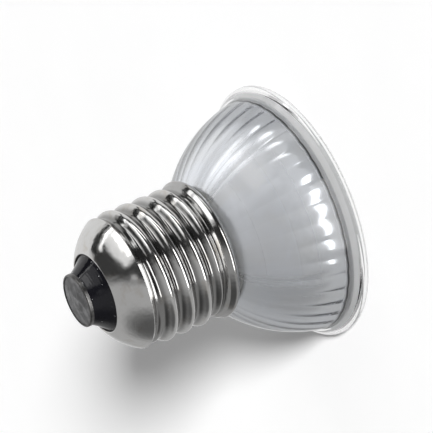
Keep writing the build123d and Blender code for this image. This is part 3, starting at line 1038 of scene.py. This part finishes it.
def mirrored(wiring, path):
    """1 where a mirror throws the light back, 0 where it is seen straight or lights a matt surface."""
    glossy = wiring.maths("GREATER_THAN", path["Glossy Depth"], 0.5)
    return wiring.times(glossy, wiring.maths("LESS_THAN", path["Diffuse Depth"], 0.5))


def behind_glass(wiring, path, strength, lift):
    """The light of a mirror's surroundings, lifted where clear glass scatters some on the way."""
    change = wiring.maths("MULTIPLY_ADD", strength, GLASS_KEEPS - 1.0, lift)
    return wiring.maths("MULTIPLY_ADD", path["Is Transmission Ray"], change, strength)


def seen_through(wiring, path):
    """1 for what shows through glass with no mirror on the way."""
    straight = wiring.maths("SUBTRACT", 1.0, mirrored(wiring, path))
    return wiring.times(path["Is Transmission Ray"], straight)


def studio_strength(wiring, direction, forward, upward):
    """The studio's light in a direction: pale behind the lamp, dark in front of it, and the soft boxes."""
    behind = wiring.ramp_up(forward, *BACK_STARTS)
    strength = wiring.maths("MULTIPLY_ADD", behind, STUDIO_BACK - STUDIO_FRONT, STUDIO_FRONT)
    under = wiring.ramp_up(upward, *UNDER_STARTS)
    ground = wiring.maths("MULTIPLY_ADD", under, STUDIO_UNDER - STUDIO_BELOW, STUDIO_BELOW)
    below = wiring.ramp_up(upward, *BELOW_STARTS)
    strength = wiring.maths("MULTIPLY_ADD", below, wiring.maths("SUBTRACT", ground, strength), strength)
    for box in SOFT_BOXES:
        strength = wiring.maths("ADD", strength, soft_box(wiring, direction, *box))
    return wiring.maths("MAXIMUM", strength, STUDIO_LEAST)


def build_world():
    """The studio for mirrors and matt surfaces, and plain white for the camera and through glass."""
    world = bpy.data.worlds.new("studio")
    bpy.context.scene.world = world
    world.use_nodes = True
    wiring = Wiring(world.node_tree)
    studio = world.node_tree.nodes["Background"]
    output = world.node_tree.nodes["World Output"]
    direction = wiring.add("ShaderNodeTexCoord").outputs["Generated"]
    forward = wiring.vector("DOT_PRODUCT", direction, tuple(CAMERA_FORWARD))
    upward = wiring.vector("DOT_PRODUCT", direction, tuple(CAMERA_UP))
    strength = studio_strength(wiring, direction, forward, upward)
    path = wiring.add("ShaderNodeLightPath").outputs
    lowers = wiring.ramp_up(upward, *GLASS_LOWERS)
    lift = wiring.maths("MULTIPLY_ADD", lowers, GLASS_LIFT_BELOW - GLASS_LIFT, GLASS_LIFT)
    lit = behind_glass(wiring, path, strength, lift)
    share = wiring.maths("MULTIPLY_ADD", path["Is Diffuse Ray"], MATT_SHARE - 1.0, 1.0)
    wiring.feed(studio.inputs["Strength"], wiring.times(lit, share))
    white = wiring.add("ShaderNodeBackground")
    for background in (studio, white):
        background.inputs["Color"].default_value = (1, 1, 1, 1)
    matt = wiring.maths("GREATER_THAN", path["Diffuse Depth"], 0.5)
    shaded = wiring.times(matt, wiring.ramp_up(upward, *MATT_LOWERS))
    wiring.feed(white.inputs["Strength"], wiring.maths("MULTIPLY_ADD", shaded, -MATT_SHADE, 1.0))
    seen = wiring.maths("MAXIMUM", path["Is Camera Ray"], seen_through(wiring, path))
    wiring.feed(output.inputs["Surface"], wiring.either(seen, studio, white))


def floor_material(colour):
    """Pale paper floor that keeps the lamp's shadow.

    Its shading normal leans to the low key light, which would leave a level floor grey.
    """
    finish = Finish("pale_floor", Roughness=0.9, Specular_IOR_Level=0.0)
    base = Vector(colour)
    finish.wire("Base Color", finish.blend(finish.noise(60, detail=4), (0.3, base * 0.985), (0.7, base)))
    lean = finish.add("ShaderNodeCombineXYZ", *(KEY_FROM + Vector((0, 0, 1))).normalized())
    finish.wire("Normal", lean.outputs[0])
    path = finish.add("ShaderNodeLightPath").outputs
    glow = finish.add("ShaderNodeEmission")
    finish.feed(glow.inputs["Strength"], finish.times(path["Is Camera Ray"], FLOOR_GLOW))
    paper = finish.add("ShaderNodeAddShader", finish.surface.outputs[0], glow.outputs[0])
    in_mirror = mirrored(finish, path)
    over_white = finish.maths("SUBTRACT", behind_glass(finish, path, STUDIO_BELOW, GLASS_LIFT_BELOW), 1.0)
    plain = finish.add("ShaderNodeEmission")
    finish.feed(plain.inputs["Strength"], finish.maths("MULTIPLY_ADD", in_mirror, over_white, 1.0))
    apart = finish.maths("MAXIMUM", seen_through(finish, path), in_mirror)
    surface = finish.either(apart, paper, plain)
    finish.feed(finish.tree.nodes["Material Output"].inputs["Surface"], surface)
    return finish.material


def build_key():
    """A wide distant lamp low in front of the lamp, which throws the soft shadow over the floor."""
    data = bpy.data.lights.new("key", "SUN")
    data.energy = KEY_STRENGTH
    data.angle = KEY_WIDTH
    key = bpy.data.objects.new("key", data)
    key.rotation_euler = KEY_FROM.to_track_quat("Z", "Y").to_euler()
    key.visible_glossy = False
    key.visible_transmission = False
    bpy.context.scene.collection.objects.link(key)


def build_camera(lens):
    """The camera at the picture's place."""
    data = bpy.data.cameras.new("picture_camera")
    data.lens = lens
    data.clip_start = 0.01
    camera = bpy.data.objects.new("picture_camera", data)
    bpy.context.scene.collection.objects.link(camera)
    turn = Matrix((CAMERA_RIGHT, CAMERA_UP, -CAMERA_FORWARD)).transposed()
    camera.matrix_world = Matrix.Translation(CAMERA_PLACE) @ turn.to_4x4()
    bpy.context.scene.camera = camera


class HEATLAMP_OT_stage(bpy.types.Operator):
    """Make the floor, the studio light and the camera"""

    bl_idname = "heatlamp.stage"
    bl_label = "Stage"

    def execute(self, context):
        stage = context.scene.heat_lamp_stage
        half = stage.floor_width / 2
        mesh = bpy.data.meshes.new("floor")
        corners = [(-half, -half, 0), (half, -half, 0), (half, half, 0), (-half, half, 0)]
        mesh.from_pydata(corners, [], [(0, 1, 2, 3)])
        mesh.materials.append(floor_material(stage.floor_colour))
        floor = bpy.data.objects.new("floor", mesh)
        context.scene.collection.objects.link(floor)
        floor.visible_glossy = False
        build_world()
        build_key()
        build_camera(stage.lens)
        context.scene.view_settings.view_transform = "Standard"
        return {"FINISHED"}


class HEATLAMP_PT_panel(bpy.types.Panel):
    """Lists the lamp's pieces and sizes"""

    bl_idname = "HEATLAMP_PT_panel"
    bl_label = "Reptile heat lamp"
    bl_space_type = "VIEW_3D"
    bl_region_type = "UI"
    bl_category = "Heat lamp"

    def draw(self, context):
        for operator in OPERATORS:
            self.layout.operator(operator.bl_idname)
        for attribute in SETTINGS:
            group = getattr(context.scene, attribute)
            box = self.layout.box()
            for key in group.bl_rna.properties.keys():
                if key not in {"rna_type", "name"}:
                    box.prop(group, key)


SETTINGS = {
    "heat_lamp_bowl": HeatLampBowl,
    "heat_lamp_cap": HeatLampCap,
    "heat_lamp_base": HeatLampBase,
    "heat_lamp_inside": HeatLampInside,
    "heat_lamp_stage": HeatLampStage,
}
OPERATORS = (
    HEATLAMP_OT_bowl,
    HEATLAMP_OT_cap,
    HEATLAMP_OT_insulator,
    HEATLAMP_OT_contact,
    HEATLAMP_OT_inside,
    HEATLAMP_OT_stage,
)


def register():
    for name, group in SETTINGS.items():
        bpy.utils.register_class(group)
        setattr(bpy.types.Scene, name, PointerProperty(type=group))
    for operator in OPERATORS:
        bpy.utils.register_class(operator)
    bpy.utils.register_class(HEATLAMP_PT_panel)


def unregister():
    bpy.utils.unregister_class(HEATLAMP_PT_panel)
    for operator in reversed(OPERATORS):
        bpy.utils.unregister_class(operator)
    for name, group in SETTINGS.items():
        delattr(bpy.types.Scene, name)
        bpy.utils.unregister_class(group)


def main():
    register()
    for name in ("bowl", "cap", "insulator", "contact", "inside", "stage"):
        getattr(bpy.ops.heatlamp, name)()


if __name__ == "__main__":
    main()
